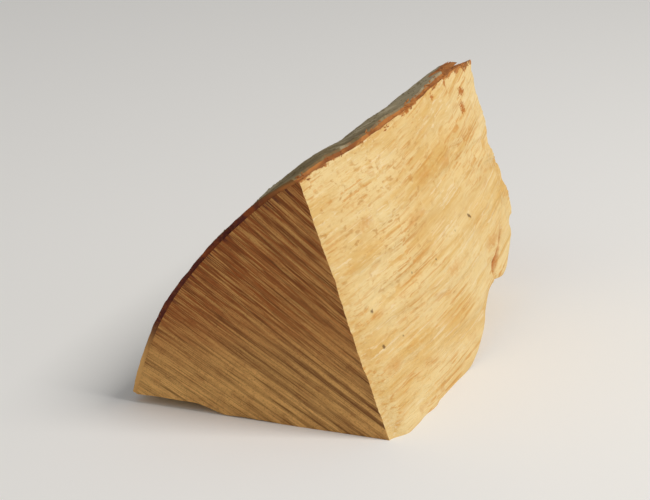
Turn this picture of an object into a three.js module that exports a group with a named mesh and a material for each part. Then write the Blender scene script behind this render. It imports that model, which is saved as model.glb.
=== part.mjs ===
// A split firewood log: a wedge of a beech trunk, sawn across at both ends, riven along the grain on two
// sides and still carrying its thin bark on the round side. It lies on its riven underside.
//
// Millimetres, +Z up. X runs along the grain from the near sawn end to the far one, the bark faces +Y and
// the tall riven face looks towards -Y. The origin is on the ground, at the middle of the log's box.

import * as THREE from "three";

// Driving dimensions. A section of the log is drawn with its front foot at 0, 0: across is +Y, up is +Z.
const LENGTH = 275; // along the top edge
const TRUNK_RADIUS = 200.2; // from the pith to the outside of the bark, at the near end
const TRUNK_TAPER = 3; // the trunk is this much thicker at the far end
const PITH = new THREE.Vector2(-43, -36); // the trunk's axis, just outside the wedge
const TOP_ANGLE = THREE.MathUtils.degToRad(61.3); // where the riven face meets the bark, seen from the pith
const BARK_THICKNESS = 2.8;
const BARK_GAP = 0.4; // between the two solids
const FAR_END_LEAN = 25; // the far cut reaches this much further at the top than at the ground

// The underside lifts off the ground towards the far end, where the split ran out of the wedge.
const RUN_OUT = { start: 118, end: 262, height: 51 };
// A torn sliver still hangs from the lifted edge near the far end, set back behind a slanting crack.
const SLIVER = { middle: 233, halfLength: 46, drop: 17, share: 0.25 };
const CRACK = { start: 206, slope: 0.65, width: 5, setBack: 2.2 };
// At the near end the underside's back part stands off the ground.
const NEAR_LIFT = { height: 5, from: 92, to: 116, fade: 90 };
// The front edge stands out a little further once it is past the near cut.
const FOOT_FLARE = { reach: 18, out: 5.3 };
// A piece is torn out of the riven face's far edge, this far down from the top.
const FAR_NOTCH = { down: 54, halfWidth: 15, depth: 7, reach: 9, start: 0.85 };
// The bark is torn away at the top of the far end.
const TORN_CORNER = { start: 233, full: 244, depth: 13 };

// Relief of the surfaces: how deep it is, over which lengths it changes in its two directions, and its seed.
const RIVEN_WAVE = { depth: 2.4, over: [95, 48], seed: 838 }; // long waves of the tall riven face
const RIVEN_FIBRE = { depth: 1.3, over: [70, 8], seed: 11 }; // ridges along the grain
const TRUNK_SWELL = { depth: 3, over: [110, 75], seed: 616 }; // gentle bumps of the trunk under the bark
const BARK_WRINKLE = { depth: 0.55, over: [22, 30], seed: 31 };
const TOP_EDGE_RAG = { depth: 1.1, over: [17, 1], seed: 41 };
const FRONT_EDGE_RAG = { depth: 1.1, over: [15, 1], seed: 47 };
const FAR_CUT_WAVE = { depth: 1.8, over: [36, 30], seed: 53 }; // the far cut wanders a little
const BARK_RAG = { depth: 1.9, over: [9, 1], seed: 61 }; // the bark's two torn edges
const BARK_CHIP = { depth: 1.4, over: [9, 1], seed: 61 }; // bark chipped off by the saw
const UNDER_HOLLOW = { depth: 1.5, over: [60, 17], seed: 71 }; // shallow hollows of the underside
const UNDER_FIBRE = { depth: 1.3, over: [70, 8], seed: 71 }; // ridges of the lifted underside

// The riven face is calmer near the near cut. The hollows of the underside stay out of a flat resting spot.
const NEAR_CUT_CALM = { reach: 60, least: 0.3 };
const RESTING_SPOT = { x: 66, across: 52, radius: 90, depth: 3 };
const LOW_EDGE_ROW = 7; // the row of the bark's rag that shapes its lower edge

// Mesh density
const STATIONS = 40; // along the grain
const RIVEN_STEPS = 28; // up the riven face
const BARK_STEPS = 18; // round the bark side
const UNDER_STEPS = 20; // along the underside
const END_RINGS = 5; // of the far cut

const WOOD_RADIUS = TRUNK_RADIUS - BARK_THICKNESS - BARK_GAP;

// Repeatable noise

function cellValue(i, j, seed) {
  const s = Math.sin(i * 127.1 + j * 311.7 + seed * 74.7) * 43758.5453;
  return 2 * (s - Math.floor(s)) - 1;
}

// Smooth noise from -1 to 1 that changes over one unit of u or v.
function noise(u, v, seed) {
  const i = Math.floor(u);
  const j = Math.floor(v);
  const su = THREE.MathUtils.smootherstep(u - i, 0, 1);
  const sv = THREE.MathUtils.smootherstep(v - j, 0, 1);
  const low = THREE.MathUtils.lerp(cellValue(i, j, seed), cellValue(i + 1, j, seed), su);
  const high = THREE.MathUtils.lerp(cellValue(i, j + 1, seed), cellValue(i + 1, j + 1, seed), su);
  return THREE.MathUtils.lerp(low, high, sv);
}

// How far a surface with this relief stands out at a place on it.
function relief(shape, u, v = 0) {
  return shape.depth * noise(u / shape.over[0], v / shape.over[1], shape.seed);
}

// The same, as a loss from nothing to the full depth.
function loss(shape, u, v = 0) {
  return (shape.depth + relief(shape, u, v)) / 2;
}

// 1 in the middle, falling smoothly to 0 at either side.
function bump(x, middle, halfWidth) {
  const t = Math.min(1, Math.abs(x - middle) / halfWidth);
  return 1 - THREE.MathUtils.smoothstep(t, 0, 1);
}

// The trunk

// A point of the trunk's round side, at an angle and a radius seen from the pith.
function onTrunk(angle, radius) {
  return new THREE.Vector2(PITH.x + radius * Math.cos(angle), PITH.y + radius * Math.sin(angle));
}

// How far the trunk's round side stands out from its radius at the near end.
function trunkSwell(x, angle) {
  return relief(TRUNK_SWELL, x, angle * TRUNK_RADIUS) + (TRUNK_TAPER * x) / LENGTH;
}

// Where the far cut lies at a point of the section.
function farCut(across, up) {
  const top = onTrunk(TOP_ANGLE, TRUNK_RADIUS).y;
  const lean = (FAR_END_LEAN * (top - up)) / top;
  return LENGTH - lean + relief(FAR_CUT_WAVE, across, up);
}

// How much is torn out of the far end at a point of the section.
function farNotch(across, up) {
  const top = onTrunk(TOP_ANGLE, WOOD_RADIUS + TRUNK_TAPER);
  const height = top.length();
  const down = height - (across * top.x + up * top.y) / height;
  const inside = Math.max(0, (across * top.y - up * top.x) / height);
  const torn = FAR_NOTCH.depth * bump(down, FAR_NOTCH.down, FAR_NOTCH.halfWidth);
  return torn * Math.exp(-inside / FAR_NOTCH.reach);
}

// Place along the grain of a point of the section, at a share of the way from the near cut to the far one.
function along(share, across, up) {
  const torn = farNotch(across, up) * THREE.MathUtils.smoothstep(share, FAR_NOTCH.start, 1);
  return share * farCut(across, up) - torn;
}

// The wood's long edges

function topAngle(x) {
  return TOP_ANGLE - relief(TOP_EDGE_RAG, x) / WOOD_RADIUS;
}

function topEdge(x) {
  const angle = topAngle(x);
  return onTrunk(angle, WOOD_RADIUS + trunkSwell(x, angle));
}

// How high the back edge, where the underside meets the bark, stands off the ground.
function backLift(x) {
  return NEAR_LIFT.height * (1 - THREE.MathUtils.smoothstep(x, 0, NEAR_LIFT.fade));
}

function backAngle(x) {
  return Math.asin((backLift(x) - PITH.y) / TRUNK_RADIUS);
}

function backEdge(x) {
  const angle = backAngle(x);
  return onTrunk(angle, WOOD_RADIUS + trunkSwell(x, angle)).setY(backLift(x));
}

function runOutLift(x) {
  return RUN_OUT.height * THREE.MathUtils.smoothstep(x, RUN_OUT.start, RUN_OUT.end);
}

function sliverDrop(x) {
  return SLIVER.drop * bump(x, SLIVER.middle, SLIVER.halfLength);
}

// How far the riven face is set back below the crack, at a height over the front edge.
function setBack(x, height) {
  const crackHeight = CRACK.slope * (x - CRACK.start);
  const below = 1 - THREE.MathUtils.smoothstep(height, crackHeight - CRACK.width, crackHeight);
  return x > CRACK.start ? CRACK.setBack * below : 0;
}

function frontEdge(x) {
  const top = topEdge(x);
  const outward = new THREE.Vector2(-top.y, top.x).normalize();
  const lift = Math.max(0, runOutLift(x) - sliverDrop(x));
  const flare = FOOT_FLARE.out * THREE.MathUtils.smoothstep(x, 0, FOOT_FLARE.reach);
  const inward = setBack(x, 0) + relief(FRONT_EDGE_RAG, x) - flare;
  return top.multiplyScalar(lift / top.y).addScaledVector(outward, -inward).setY(lift);
}

// The riven surfaces

// How far the riven face stands out, at a share of the way up from the front edge to the top edge. Its
// ridges run level with the top edge.
function rivenRelief(x, share, height) {
  const down = (1 - share) * height;
  const inFromEdges = Math.sqrt(Math.sin(Math.PI * share));
  const fromCut = THREE.MathUtils.smoothstep(x, 0, NEAR_CUT_CALM.reach);
  const inFromCut = THREE.MathUtils.lerp(NEAR_CUT_CALM.least, 1, fromCut);
  const standing = (relief(RIVEN_WAVE, x, down) + relief(RIVEN_FIBRE, x, down)) * inFromEdges * inFromCut;
  return standing + setBack(x, 0) * (1 - share) - setBack(x, share * height);
}

// How high the underside stands off the ground, at a share of the way from the front edge to the back edge.
function underLift(x, across, share) {
  const sliver = sliverDrop(x) * (1 - THREE.MathUtils.smoothstep(share, 0, SLIVER.share));
  const raised = backLift(x) * THREE.MathUtils.smoothstep(across, NEAR_LIFT.from, NEAR_LIFT.to);
  const lifted = runOutLift(x) * (1 - share) - sliver + raised;
  const fromSpot = Math.hypot(x - RESTING_SPOT.x, across - RESTING_SPOT.across);
  const kept = RESTING_SPOT.depth * bump(fromSpot, 0, RESTING_SPOT.radius);
  const hollow = Math.max(0, relief(UNDER_HOLLOW, x, across) - kept);
  const ridges = relief(UNDER_FIBRE, x, across) * THREE.MathUtils.smoothstep(x, RUN_OUT.start, RUN_OUT.end);
  const inFromEdges = Math.sin(Math.PI * share);
  return Math.max(0, lifted + (hollow + ridges) * inFromEdges);
}

// The wood's outline at a place along the grain: up the riven face, round the bark side and back along
// the underside.
function woodSection(x) {
  const front = frontEdge(x);
  const top = topEdge(x);
  const back = backEdge(x);
  const up = top.clone().sub(front);
  const height = up.length();
  const outward = new THREE.Vector2(-up.y, up.x).normalize();
  const points = [];
  for (let k = 0; k < RIVEN_STEPS; k++) {
    const share = k / RIVEN_STEPS;
    const standing = k === 0 ? 0 : rivenRelief(x, share, height);
    points.push(front.clone().addScaledVector(up, share).addScaledVector(outward, standing));
  }
  const lowAngle = Math.atan2(back.y - PITH.y, back.x - PITH.x);
  points.push(top);
  for (let k = 1; k < BARK_STEPS; k++) {
    const angle = THREE.MathUtils.lerp(topAngle(x), lowAngle, k / BARK_STEPS);
    points.push(onTrunk(angle, WOOD_RADIUS + trunkSwell(x, angle)));
  }
  points.push(back);
  for (let k = UNDER_STEPS - 1; k > 0; k--) {
    const share = k / UNDER_STEPS;
    const across = THREE.MathUtils.lerp(front.x, back.x, share);
    points.push(new THREE.Vector2(across, underLift(x, across, share)));
  }
  return points;
}

// Solids

function closedGeometry(vertices, triangles) {
  const geometry = new THREE.BufferGeometry();
  const numbers = vertices.flatMap((p) => [p.x, p.y, p.z]);
  geometry.setAttribute("position", new THREE.Float32BufferAttribute(numbers, 3));
  geometry.setIndex(triangles.flat());
  geometry.computeVertexNormals();
  return geometry;
}

// Two triangles for the four corners a, b, c, d, in turn.
function quad(a, b, c, d) {
  return [
    [a, b, c],
    [a, c, d],
  ];
}

function woodGeometry() {
  const vertices = [];
  const triangles = [];
  const around = RIVEN_STEPS + BARK_STEPS + UNDER_STEPS;

  for (let i = 0; i <= STATIONS; i++) {
    const share = i / STATIONS;
    for (const p of woodSection(share * LENGTH)) {
      vertices.push(new THREE.Vector3(along(share, p.x, p.y), p.x, p.y));
    }
  }
  const at = (i, j) => i * around + (j % around);
  for (let i = 0; i < STATIONS; i++) {
    for (let j = 0; j < around; j++) {
      triangles.push(...quad(at(i, j), at(i + 1, j), at(i + 1, j + 1), at(i, j + 1)));
    }
  }

  // The near cut is one flat face.
  const nearOutline = vertices.slice(0, around).map((p) => new THREE.Vector2(p.y, p.z));
  for (const [a, b, c] of THREE.ShapeUtils.triangulateShape(nearOutline, [])) {
    const toB = nearOutline[b].clone().sub(nearOutline[a]);
    const toC = nearOutline[c].clone().sub(nearOutline[a]);
    const turn = toB.cross(toC);
    triangles.push(turn > 0 ? [a, c, b] : [a, b, c]);
  }

  // The far cut is torn, so rings of points close in on its middle.
  const rim = vertices.slice(STATIONS * around, (STATIONS + 1) * around);
  const middle = rim.reduce((sum, p) => sum.add(p), new THREE.Vector3()).divideScalar(around);
  let outer = (j) => at(STATIONS, j);
  for (let ring = 1; ring < END_RINGS; ring++) {
    const first = vertices.length;
    for (const p of rim) {
      const q = p.clone().lerp(middle, ring / END_RINGS);
      vertices.push(q.setX(along(1, q.y, q.z)));
    }
    const inner = (j) => first + (j % around);
    for (let j = 0; j < around; j++) {
      triangles.push(...quad(outer(j), inner(j), inner(j + 1), outer(j + 1)));
    }
    outer = inner;
  }
  vertices.push(middle.setX(along(1, middle.y, middle.z)));
  const centre = vertices.length - 1;
  for (let j = 0; j < around; j++) {
    triangles.push([outer(j), centre, outer(j + 1)]);
  }
  return closedGeometry(vertices, triangles);
}

// The bark's two torn edges, as angles seen from the pith.
function barkEdges(x) {
  const torn = TORN_CORNER.depth * THREE.MathUtils.smoothstep(x, TORN_CORNER.start, TORN_CORNER.full);
  return {
    top: topAngle(x) - (BARK_GAP + loss(BARK_RAG, x) + torn) / TRUNK_RADIUS,
    low: backAngle(x) + (BARK_GAP + loss(BARK_RAG, x, LOW_EDGE_ROW)) / TRUNK_RADIUS,
  };
}

function barkGeometry() {
  const vertices = [];
  const triangles = [];
  const across = BARK_STEPS + 1;

  // Each station has an outer row of points, then an inner one that follows the wood.
  for (let i = 0; i <= STATIONS; i++) {
    const share = i / STATIONS;
    const x = share * LENGTH;
    const { top, low } = barkEdges(x);
    for (const side of ["outer", "inner"]) {
      for (let k = 0; k < across; k++) {
        const angle = THREE.MathUtils.lerp(top, low, k / BARK_STEPS);
        const wrinkle = relief(BARK_WRINKLE, x, angle * TRUNK_RADIUS);
        const radius = side === "outer" ? TRUNK_RADIUS + wrinkle : TRUNK_RADIUS - BARK_THICKNESS;
        const p = onTrunk(angle, radius + trunkSwell(x, angle));
        const chip = loss(BARK_CHIP, angle * TRUNK_RADIUS, i);
        const inFromCut = (i === 0 ? chip : 0) - (i === STATIONS ? chip : 0);
        vertices.push(new THREE.Vector3(share * farCut(p.x, p.y) + inFromCut, p.x, Math.max(0, p.y)));
      }
    }
  }
  const outer = (i, k) => i * 2 * across + k;
  const inner = (i, k) => (i * 2 + 1) * across + k;
  const last = BARK_STEPS;
  for (let i = 0; i < STATIONS; i++) {
    for (let k = 0; k < last; k++) {
      triangles.push(...quad(outer(i, k), outer(i + 1, k), outer(i + 1, k + 1), outer(i, k + 1)));
      triangles.push(...quad(inner(i, k), inner(i, k + 1), inner(i + 1, k + 1), inner(i + 1, k)));
    }
    triangles.push(...quad(outer(i, 0), inner(i, 0), inner(i + 1, 0), outer(i + 1, 0)));
    triangles.push(...quad(outer(i, last), outer(i + 1, last), inner(i + 1, last), inner(i, last)));
  }
  const end = STATIONS;
  for (let k = 0; k < last; k++) {
    triangles.push(...quad(outer(0, k), outer(0, k + 1), inner(0, k + 1), inner(0, k)));
    triangles.push(...quad(outer(end, k), inner(end, k), inner(end, k + 1), outer(end, k + 1)));
  }
  return closedGeometry(vertices, triangles);
}

// The log

function piece(name, geometry, color, roughness) {
  const mesh = new THREE.Mesh(geometry, new THREE.MeshStandardMaterial({ color, roughness, metalness: 0 }));
  mesh.name = name;
  return mesh;
}

const pieces = new THREE.Group();
pieces.add(piece("wood", woodGeometry(), 0xe4c07e, 0.8));
pieces.add(piece("bark", barkGeometry(), 0x6f6750, 0.95));

const box = new THREE.Box3().setFromObject(pieces);
const middle = box.getCenter(new THREE.Vector3());
pieces.position.set(-middle.x, -middle.y, -box.min.z);

const log = new THREE.Group();
log.name = "firewood_log";
log.add(pieces);

export default log;
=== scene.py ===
"""A split firewood log of beech, as it lies on a pale floor in soft studio light.

The wood and its bark are drawn from the log's driving sizes, finely enough to show torn fibres, a clean
saw cut and the bark's ragged edges. Splinters, shreds of inner bark and lenticels then grow on them.
Everything is in metres, in the frame of the solids: X along the grain, -Y out of the tall riven face, Z up.
"""

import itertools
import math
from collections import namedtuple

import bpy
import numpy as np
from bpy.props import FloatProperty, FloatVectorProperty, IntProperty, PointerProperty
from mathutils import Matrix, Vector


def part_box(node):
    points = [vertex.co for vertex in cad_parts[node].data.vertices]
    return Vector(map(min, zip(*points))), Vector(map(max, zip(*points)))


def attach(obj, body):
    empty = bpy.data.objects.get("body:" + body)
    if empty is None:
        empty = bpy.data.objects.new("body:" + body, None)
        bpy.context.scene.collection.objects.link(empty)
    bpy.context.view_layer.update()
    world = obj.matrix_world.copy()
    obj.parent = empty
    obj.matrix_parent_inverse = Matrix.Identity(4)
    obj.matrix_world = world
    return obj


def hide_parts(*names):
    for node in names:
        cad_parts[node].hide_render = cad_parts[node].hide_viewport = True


bl_info = {
    "name": "Firewood Log",
    "version": (1, 0, 0),
    "blender": (4, 5, 0),
    "location": "View3D > Sidebar > Firewood",
    "description": "Builds a split beech log with its bark and splinters on a plain studio stage",
    "category": "Object",
}

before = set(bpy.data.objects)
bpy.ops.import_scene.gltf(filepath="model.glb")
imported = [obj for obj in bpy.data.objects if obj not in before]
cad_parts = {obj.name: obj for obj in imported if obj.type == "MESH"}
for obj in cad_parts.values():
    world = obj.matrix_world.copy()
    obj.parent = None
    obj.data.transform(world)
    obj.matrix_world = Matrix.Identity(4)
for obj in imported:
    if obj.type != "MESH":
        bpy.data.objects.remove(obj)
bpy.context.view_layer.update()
BODY = "root"
MM = 0.001

# Where a section's own origin, the foot of the riven face at the near end, stands in the frame.
FOOT = Vector((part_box("wood")[0].x, -76.13 * MM, 0.0))

# Relief of a surface: how deep it is, over which lengths it changes in its two directions, and its seed.
Relief = namedtuple("Relief", "depth along across seed")

# Broad relief, as on the solids
RIVEN_WAVE = Relief(2.4 * MM, 95 * MM, 48 * MM, 838)
RIVEN_FIBRE = Relief(1.3 * MM, 70 * MM, 8 * MM, 11)
TRUNK_SWELL = Relief(3.0 * MM, 110 * MM, 75 * MM, 616)
BARK_WRINKLE = Relief(0.55 * MM, 22 * MM, 30 * MM, 31)
TOP_EDGE_RAG = Relief(1.1 * MM, 17 * MM, 1.0, 41)
FRONT_EDGE_RAG = Relief(1.1 * MM, 15 * MM, 1.0, 47)
FAR_CUT_WAVE = Relief(1.8 * MM, 36 * MM, 30 * MM, 53)
BARK_RAG = Relief(1.9 * MM, 9 * MM, 1.0, 61)
BARK_CHIP = Relief(1.4 * MM, 9 * MM, 1.0, 61)
UNDER_HOLLOW = Relief(1.5 * MM, 60 * MM, 17 * MM, 71)
UNDER_FIBRE = Relief(1.3 * MM, 70 * MM, 8 * MM, 71)
LOW_EDGE_ROW = 7  # the row of the bark's rag that shapes its lower edge
LAYER_BREAK = 0.82  # share of a torn layer of fibres at which it breaks off
# At the torn corner the inner bark reaches further than the skin, loses less, and keeps most of its height.
INNER_BARK_LEFT, INNER_BARK_LOSS, INNER_BARK_RISE = 15 * MM, 5 * MM, 0.4

# Fine relief
FIBRE_BUNDLE = Relief(0.24 * MM, 50 * MM, 2.6 * MM, 83)
FIBRE_HAIR = Relief(0.10 * MM, 24 * MM, 1.5 * MM, 89)
LAMELLA = Relief(4.2, 150 * MM, 24 * MM, 97)  # its depth counts the torn layers
LAMELLA_WAVER = Relief(0.5, 55 * MM, 7 * MM, 101)
TOP_EDGE_FRAY = Relief(0.5 * MM, 3.5 * MM, 1.0, 103)
CUT_FRAY = Relief(0.3 * MM, 2.2 * MM, 1.0, 107)
FAR_FRAY = Relief(0.45 * MM, 4.2 * MM, 1.0, 109)
SAW_MARK = Relief(0.08 * MM, 7 * MM, 90 * MM, 113)
FAR_SAW_MARK = Relief(0.3 * MM, 7 * MM, 60 * MM, 127)
FAR_SAW_SLANT = 0.4  # how far those climb for each step across
BAST_FIBRE = Relief(0.14 * MM, 40 * MM, 1.8 * MM, 131)
BARK_TEAR = Relief(1.7 * MM, 6.5 * MM, 1.0, 137)
BARK_NICK = Relief(0.9 * MM, 2.6 * MM, 1.0, 139)
BARK_CREASE = Relief(0.16 * MM, 2.6 * MM, 17 * MM, 149)
BARK_PIMPLE = Relief(0.12 * MM, 2.2 * MM, 2.6 * MM, 151)
BARK_FOLD = Relief(0.22 * MM, 9 * MM, 6 * MM, 157)
CRUST_EDGE = Relief(0.13, 2.6 * MM, 3.1 * MM, 167)  # its depth is a share of a lichen's room

# The saw's lines on an end run this way across and up it, and spread a little from far beyond the foot.
SAW_LINE = (math.cos(math.radians(31)), math.sin(math.radians(31)))
SAW_SPREAD = 600 * MM
SAW_STEP = 5.3 * MM  # from one tooth mark to the next

# The fibres climb towards the far end: from where along the grain, and how fast their slope grows.
GRAIN_BEND_START, GRAIN_BEND = 80 * MM, 0.8

CLING_REACH = 2.4 * MM  # how far below the top edge shreds of inner bark grow on the wood
CLING_END = 0.965  # of the length, past which none grow
CLING_COLUMNS = 4  # of the side under the bark that have them too, past the top edge
CLING_SHARE = (0.15, 0.6)  # of their full number, along the edge and where the bark is torn away
# Splinters crowd along the lifted edge: from where along the grain, over what length that grows, and how far
# up the face. A few lie elsewhere, and none past a share of the length.
SPLINTER_START, SPLINTER_GROWS, SPLINTER_BAND = 90 * MM, 60 * MM, 0.07
SPLINTER_LEAST, SPLINTER_STOP, SPLINTER_FADE = 0.05, 0.88, 0.03
# Lichen grows in round patches: the room for each, the largest one's share of it, its soft rim, how far it
# strays from the middle of its room, and a seed.
LICHEN_ROOM, LICHEN_LARGEST, LICHEN_RIM, LICHEN_STRAY, LICHEN_SEED = 23 * MM, 0.5, 0.16, 0.4, 163

# Shreds of inner bark grow along the torn edge, and in tufts: their places in millimetres from the near end,
# how many times more shreds they have, and half their length.
SHREDS_LEAST, TUFTS, TUFT_SHREDS, TUFT_HALF = 0.5, (168, 205, 234), 5, 4 * MM
SHRED_SEED, LENTICEL_SEED = 11, 23  # added to the seed, so that each kind falls in its own way

# Mesh density
STATIONS = 210  # along the grain
RIVEN_STEPS = 196  # up the riven face
ROUND_STEPS = 56  # round the side under the bark
UNDER_STEPS = 92  # along the underside
END_RINGS = 24  # of a cut
RIM_RING = 0.012  # share of the way in at which a cut's first ring lies
BARK_STATIONS = 214
BARK_STEPS = 150  # round the bark
TORN_STEPS = 4  # through the bark at a torn edge
TORN_SKIN = 2  # of those, counted from outside, that are still outer bark
TORN_HOLLOW = 0.8  # 1 would cut a torn edge straight through
BROKEN_STEPS = 2  # of the bark that are broken beside its torn edges
LENTICEL_MARGINS = 6, 3  # stations at the cuts and steps at the torn edges that have none
SHARP_EDGE = math.radians(48)


# Settings

def metres(name, description, size_mm):
    """A length setting, with its default given in millimetres."""
    return FloatProperty(
        name=name,
        description=description,
        default=size_mm * MM,
        unit="LENGTH",
        subtype="DISTANCE",
        precision=4,
    )


def angle(name, description, degrees):
    """An angle setting, with its default given in degrees."""
    return FloatProperty(
        name=name, description=description, default=math.radians(degrees), unit="ROTATION", subtype="ANGLE"
    )


def place(name, description, *place_mm):
    """A point in a section or in the frame, with its default given in millimetres."""
    return FloatVectorProperty(
        name=name,
        description=description,
        size=len(place_mm),
        default=[p * MM for p in place_mm],
        unit="LENGTH",
        subtype="XYZ",
        precision=4,
    )


def colour(name, description, red, green, blue):
    """A colour setting, with its default given as an sRGB colour of 0 to 255."""
    shares = [c / 255 for c in (red, green, blue)]
    linear = [c / 12.92 if c <= 0.04045 else ((c + 0.055) / 1.055) ** 2.4 for c in shares]
    return FloatVectorProperty(
        name=name, description=description, size=3, default=linear, subtype="COLOR", min=0.0, max=1.0
    )


class LogSizes(bpy.types.PropertyGroup):
    """The log's driving sizes, those of its solids"""

    length: metres("Length", "Along the top edge", 275)
    trunk_radius: metres("Trunk Radius", "From the pith to the outside of the bark, at the near end", 200.2)
    trunk_taper: metres("Trunk Taper", "How much thicker the trunk is at the far end", 3)
    pith: place("Pith", "The trunk's axis, across and up from the riven face's foot", -43, -36)
    top_angle: angle("Top Angle", "Where the riven face meets the bark, seen from the pith", 61.3)
    bark_thickness: metres("Bark Thickness", "Of the bark with its inner layer", 2.8)
    bark_gap: metres("Bark Gap", "Between the wood and its bark", 0.4)
    far_end_lean: metres("Far End Lean", "How much further the far cut reaches at the top", 25)
    run_out_start: metres("Run-Out Start", "Where the underside begins to lift", 118)
    run_out_end: metres("Run-Out End", "Where the underside has lifted fully", 262)
    run_out_height: metres("Run-Out Height", "How far the front edge lifts", 51)
    sliver_middle: metres("Sliver Middle", "Place of the torn sliver along the lifted edge", 233)
    sliver_half: metres("Sliver Half Length", "Half the length of the torn sliver", 46)
    sliver_drop: metres("Sliver Drop", "How far the torn sliver hangs down", 17)
    crack_start: metres("Crack Start", "Where the slanting crack leaves the front edge", 206)
    crack_set_back: metres("Crack Set-Back", "How far the face stands back below the crack", 2.2)
    near_lift: metres("Near Lift", "How far the underside's back stands off the ground at the near end", 5)
    near_lift_from: metres("Near Lift From", "Across the underside, where that lift begins", 92)
    near_lift_to: metres("Near Lift To", "Across the underside, where that lift is full", 116)
    near_lift_fade: metres("Near Lift Fade", "Along the grain, where that lift has gone", 90)
    foot_flare: metres("Foot Flare", "How much further the front edge stands out past the near cut", 5.3)
    foot_flare_reach: metres("Foot Flare Reach", "Along the grain, where that flare is full", 18)
    torn_start: metres("Torn Corner Start", "Where the outer bark begins to be torn away", 233)
    torn_full: metres("Torn Corner Full", "Where the outer bark is torn away fully", 244)
    torn_depth: metres("Torn Corner Depth", "How much outer bark is gone below the top edge", 13)


class LogSurface(bpy.types.PropertyGroup):
    """How rough the log is, and how much grows on it"""

    lamella_step: metres("Torn Layer", "Height of one torn layer of fibres on the riven faces", 0.62)
    crack_depth: metres("Crack Depth", "Depth of the hollow along the slanting crack", 5.0)
    crust_height: metres("Lichen Height", "How far the lichen stands off the bark", 0.3)
    splinter_density: FloatProperty(
        name="Splinters", description="Splinters to the square metre of torn wood", default=5000, min=0
    )
    shred_density: FloatProperty(
        name="Shreds", description="Shreds to the square metre of torn bark", default=75000, min=0
    )
    lenticel_density: FloatProperty(
        name="Lenticels", description="Lenticels to the square metre of bark", default=22000, min=0
    )
    seed: IntProperty(name="Seed", description="Seed of everything scattered", default=7, min=0)


class LogColours(bpy.types.PropertyGroup):
    """Colours of the wood and its bark"""

    riven_pale: colour("Riven Pale", "Palest fibres of the riven faces", 243, 216, 158)
    riven_gleam: colour("Riven Gleam", "Palest single fibres of the riven faces", 249, 227, 184)
    riven_tan: colour("Riven Tan", "Deeper tone of the riven faces", 227, 183, 108)
    riven_orange: colour("Riven Orange", "Orange streaks along the grain", 216, 154, 78)
    fleck: colour("Fleck", "Short flecks of the riven faces", 200, 144, 72)
    bit: colour("Bits", "Orange-brown bits left on the riven face", 192, 118, 50)
    # Orange-brown of torn fibres, darkened as painted shade for the crack's hollow
    crack: colour("Crack", "Wood inside the slanting crack", 190, 112, 44)
    speck: colour("Speck", "Small dark specks of the riven face", 96, 62, 32)
    # Browner top of the sawn ends, partly painted shade
    end_brown_and_shade: colour("End Brown", "Deeper tone of the sawn ends", 180, 108, 52)
    end_tan: colour("End Tan", "Lighter tone of the sawn ends", 250, 196, 119)
    end_red: colour("End Red", "Sawn wood next to the bark", 156, 80, 36)
    line_light: colour("Light Line", "Light lines of the sawn ends", 220, 168, 98)
    line_dark: colour("Dark Line", "Dark lines of the sawn ends", 112, 68, 34)
    bast: colour("Inner Bark", "Torn fibres of the inner bark", 188, 123, 66)
    bast_dark: colour("Inner Bark Dark", "Weathered inner bark", 146, 88, 47)
    bark_grey: colour("Bark Grey", "Smooth grey-green bark", 145, 129, 93)
    bark_dark: colour("Bark Dark", "Dark patches of the bark", 105, 89, 58)
    lichen: colour("Lichen", "Pale crust on the bark", 190, 177, 147)
    bark_cut: colour("Bark Cut", "Bark where the saw went through", 92, 44, 36)


class LogStage(bpy.types.PropertyGroup):
    """Camera, light and floor"""

    azimuth: angle("Azimuth", "Camera's turn round the log from looking along +Y", -68.15)
    elevation: angle("Elevation", "Camera's height over the horizon", 18.2)
    distance: metres("Distance", "From the camera to where it aims", 1490)
    aim: place("Aim", "Point in the frame that the camera aims at", -59.1, -7.3, 74.4)
    lens: FloatProperty(name="Lens", description="Focal length in millimetres", default=148, unit="CAMERA")
    key_power: FloatProperty(name="Key", description="Main light, from the right", default=31, unit="POWER")
    fill_power: FloatProperty(name="Fill", description="Soft light from the left", default=3, unit="POWER")
    sky: FloatProperty(name="Sky", description="Strength of the even light all round", default=0.33, min=0)
    floor: colour("Floor", "Plain pale floor", 244, 243, 241)


# Repeatable noise

def cell_value(i, j, seed):
    """A value from -1 to 1 that looks random and is always the same for a cell of a grid."""
    s = np.sin(i * 127.1 + j * 311.7 + seed * 74.7) * 43758.5453
    return 2 * (s - np.floor(s)) - 1


def smooth(t):
    """0 below 0, 1 above 1, and an even rise between."""
    t = np.clip(t, 0.0, 1.0)
    return t * t * (3 - 2 * t)


def ramp(value, start, end):
    """0 before start, 1 past end, and an even rise between."""
    return smooth((value - start) / (end - start))


def mix(a, b, share):
    """What lies a share of the way from a to b."""
    return a + (b - a) * share


def noise(u, v, seed):
    """Smooth noise from -1 to 1 that changes over one unit of u or v."""
    i, j = np.floor(u), np.floor(v)
    su, sv = u - i, v - j
    su = su * su * su * (su * (su * 6 - 15) + 10)
    sv = sv * sv * sv * (sv * (sv * 6 - 15) + 10)
    low = mix(cell_value(i, j, seed), cell_value(i + 1, j, seed), su)
    high = mix(cell_value(i, j + 1, seed), cell_value(i + 1, j + 1, seed), su)
    return mix(low, high, sv)


def relief(shape, u, v=0.0):
    """How far a surface with this relief stands out at a place on it."""
    return shape.depth * noise(u / shape.along, v / shape.across, shape.seed)


def loss(shape, u, v=0.0):
    """The same, as a loss from nothing to the full depth."""
    return (shape.depth + relief(shape, u, v)) / 2


def bump(t):
    """1 at 0, falling evenly to 0 at -1 and 1."""
    return 1 - smooth(np.abs(t))


def torn_layers(value):
    """Layers that rise slowly and break off short, as fibres do when they tear: from about -1 to 0."""
    part = value - np.floor(value)
    return ramp(part, LAYER_BREAK, 1) - part


# The log's form

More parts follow.
